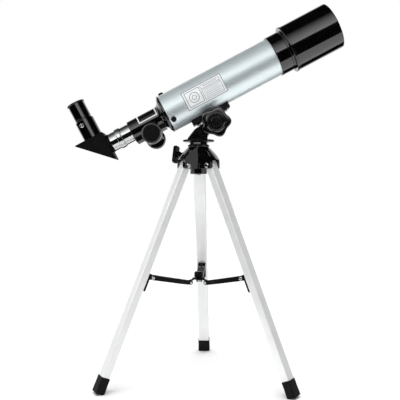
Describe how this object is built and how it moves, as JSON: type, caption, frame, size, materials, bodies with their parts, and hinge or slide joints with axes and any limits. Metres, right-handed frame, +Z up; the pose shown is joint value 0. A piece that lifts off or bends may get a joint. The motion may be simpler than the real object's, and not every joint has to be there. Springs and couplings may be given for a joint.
{
  "type": "refracting telescope on a folding table tripod",
  "caption": "Small refracting telescope with a rack and pinion focuser and a right-angle diagonal, on a fork mount and a folding tripod with a spreader.",
  "frame": {"origin": "middle of the underside of the whole object's box, on the surface that the tripod stands on", "axes": "+X the horizontal direction in which the tube points, +Z up, +Y to the left of the tube seen from the eyepiece"},
  "size_m": [0.4004, 0.2518, 0.5429],
  "materials": {
    "tube_paint": "metallic silver-blue lacquer",
    "gloss_black": "glossy moulded black",
    "satin_black": "satin moulded black",
    "chrome": "bright plated",
    "aluminium": "bright satin anodised",
    "rubber": "matte moulded",
    "steel": "plain zinc plated",
    "brass": "machined",
    "lens_glass": "coated",
    "mirror": "front silvered"
  },
  "bodies": {
    "crown": {"crown": "gloss_black", "leg_pin_rear": "chrome", "leg_pin_left": "chrome", "leg_pin_right": "chrome"},
    "leg_body_rear": {"leg_rear": "aluminium", "boot_rear": "rubber", "bracket_rear": "satin_black"},
    "arm_body_rear": {"arm_rear": "satin_black", "outer_rivet_rear": "chrome", "inner_rivet_rear": "chrome"},
    "leg_body_left": {"leg_left": "aluminium", "boot_left": "rubber", "bracket_left": "satin_black"},
    "arm_body_left": {"arm_left": "satin_black", "outer_rivet_left": "chrome", "inner_rivet_left": "chrome"},
    "leg_body_right": {"leg_right": "aluminium", "boot_right": "rubber", "bracket_right": "satin_black"},
    "arm_body_right": {"arm_right": "satin_black", "outer_rivet_right": "chrome", "inner_rivet_right": "chrome"},
    "hub": {"spreader_hub": "satin_black"},
    "hub_knob": {"hub_knob": "satin_black"},
    "azimuth_lock": {"azimuth_lock_screw": "satin_black"},
    "azimuth_head": {"fork": "gloss_black", "azimuth_disc": "satin_black", "azimuth_bolt": "steel", "azimuth_nut": "steel", "altitude_bolt": "steel"},
    "altitude_knob": {"altitude_knob": "gloss_black"},
    "optical_tube": {"main_tube": "tube_paint", "tube_baffle": "satin_black", "objective_cell": "gloss_black", "flint_lens": "lens_glass", "crown_lens": "lens_glass", "lens_retaining_ring": "satin_black", "focuser_housing": "gloss_black", "pinion_cover": "gloss_black", "tube_screw_1": "satin_black", "tube_screw_2": "satin_black", "tube_screw_3": "satin_black", "saddle": "satin_black", "saddle_screw_1": "steel", "saddle_screw_2": "steel"},
    "dew_shield": {"dew_shield": "gloss_black"},
    "drawtube": {"drawtube": "chrome", "focus_rack": "brass", "drawtube_collar": "chrome"},
    "collar_screw": {"collar_thumbscrew": "chrome"},
    "focus_drive": {"pinion_shaft": "steel", "focus_knob_far": "gloss_black", "focus_knob_near": "gloss_black"},
    "diagonal": {"diagonal_housing": "satin_black", "diagonal_mirror": "mirror"},
    "holder_screw": {"holder_thumbscrew": "chrome"},
    "eyepiece": {"eyepiece_barrel": "chrome", "field_lens": "lens_glass", "eyepiece_body": "gloss_black", "eye_lens": "lens_glass"}
  },
  "joints": [
    {"name": "leg_fold_rear", "type": "hinge", "parent": "crown", "child": "leg_body_rear", "pos_m": [-0.00776, -0.0106, 0.311], "axis": [-0.9986, 0.0523, 0], "range_deg": [0, 19.8]},
    {"name": "leg_fold_left", "type": "hinge", "parent": "crown", "child": "leg_body_left", "pos_m": [-0.02851, -0.04256, 0.311], "axis": [0.454, -0.891, 0], "range_deg": [0, 19.8]},
    {"name": "leg_fold_right", "type": "hinge", "parent": "crown", "child": "leg_body_right", "pos_m": [0.00954, -0.04455, 0.311], "axis": [0.5446, 0.8387, 0], "range_deg": [0, 19.8]},
    {"name": "arm_fold_rear", "type": "hinge", "parent": "leg_body_rear", "child": "arm_body_rear", "pos_m": [-0.00506, 0.04087, 0.15303], "axis": [-0.9986, 0.0523, 0], "range_deg": [-95.8, 0]},
    {"name": "arm_fold_left", "type": "hinge", "parent": "leg_body_left", "child": "arm_body_left", "pos_m": [-0.07443, -0.06596, 0.15303], "axis": [0.454, -0.891, 0], "range_deg": [-95.8, 0]},
    {"name": "arm_fold_right", "type": "hinge", "parent": "leg_body_right", "child": "arm_body_right", "pos_m": [0.05277, -0.07263, 0.15303], "axis": [0.5446, 0.8387, 0], "range_deg": [-95.8, 0]},
    {"name": "hub_slide", "type": "slide", "parent": "crown", "child": "hub", "axis": [0, 0, -1], "range_m": [0, 0.0577]},
    {"name": "hub_knob_turn", "type": "hinge", "parent": "hub", "child": "hub_knob", "pos_m": [-0.00891, -0.03257, 0.15], "axis": [0, 0, 1], "range_deg": [0, 360]},
    {"name": "azimuth_lock_turn", "type": "hinge", "parent": "crown", "child": "azimuth_lock", "pos_m": [-0.00891, -0.03257, 0.3285], "axis": [-0.8829, 0.4695, 0], "range_deg": [0, 360]},
    {"name": "azimuth", "type": "hinge", "parent": "crown", "child": "azimuth_head", "pos_m": [-0.00891, -0.03257, 0.347], "axis": [0, 0, 1], "continuous": true},
    {"name": "altitude", "type": "hinge", "parent": "azimuth_head", "child": "optical_tube", "pos_m": [0.01599, -0.03257, 0.3724], "axis": [0, -1, 0], "range_deg": [-47.75, 12.25]},
    {"name": "altitude_knob_turn", "type": "hinge", "parent": "azimuth_head", "child": "altitude_knob", "pos_m": [0.01599, -0.03257, 0.3724], "axis": [0, -1, 0], "range_deg": [0, 360]},
    {"name": "dew_shield_pull", "type": "slide", "parent": "optical_tube", "child": "dew_shield", "axis": [0.885, 0, 0.4656], "range_m": [0, 0.012]},
    {"name": "focus", "type": "slide", "parent": "optical_tube", "child": "drawtube", "axis": [-0.885, 0, -0.4656], "range_m": [-0.012, 0.03]},
    {"name": "focus_knob_turn", "type": "hinge", "parent": "optical_tube", "child": "focus_drive", "pos_m": [-0.07371, -0.03477, 0.35358], "axis": [-0.0487, -0.9945, 0.0925], "range_deg": [-143.3, 358.2]},
    {"name": "collar_screw_turn", "type": "hinge", "parent": "drawtube", "child": "collar_screw", "pos_m": [-0.12238, -0.03257, 0.35158], "axis": [-0.0487, -0.9945, 0.0925], "range_deg": [0, 360]},
    {"name": "diagonal_turn", "type": "hinge", "parent": "drawtube", "child": "diagonal", "pos_m": [-0.15335, -0.03257, 0.33528], "axis": [0.885, 0, 0.4656], "continuous": true},
    {"name": "holder_screw_turn", "type": "hinge", "parent": "diagonal", "child": "holder_screw", "pos_m": [-0.17174, -0.03257, 0.37024], "axis": [-0.2439, -0.9613, -0.1283], "range_deg": [0, 360]},
    {"name": "eyepiece_pull", "type": "slide", "parent": "diagonal", "child": "eyepiece", "axis": [-0.4656, 0, 0.885], "range_m": [0, 0.02]}
  ],
  "couplings": [
    {"joint": "leg_fold_left", "follows": "leg_fold_rear", "ratio": 1},
    {"joint": "leg_fold_right", "follows": "leg_fold_rear", "ratio": 1},
    {"joint": "arm_fold_rear", "follows": "leg_fold_rear", "ratio": -4.8313},
    {"joint": "arm_fold_left", "follows": "leg_fold_rear", "ratio": -4.8313},
    {"joint": "arm_fold_right", "follows": "leg_fold_rear", "ratio": -4.8313},
    {"joint": "hub_slide", "follows": "leg_fold_rear", "m_per_rad": 0.16668},
    {"joint": "focus_knob_turn", "follows": "focus", "rad_per_m": 208.33}
  ]
}
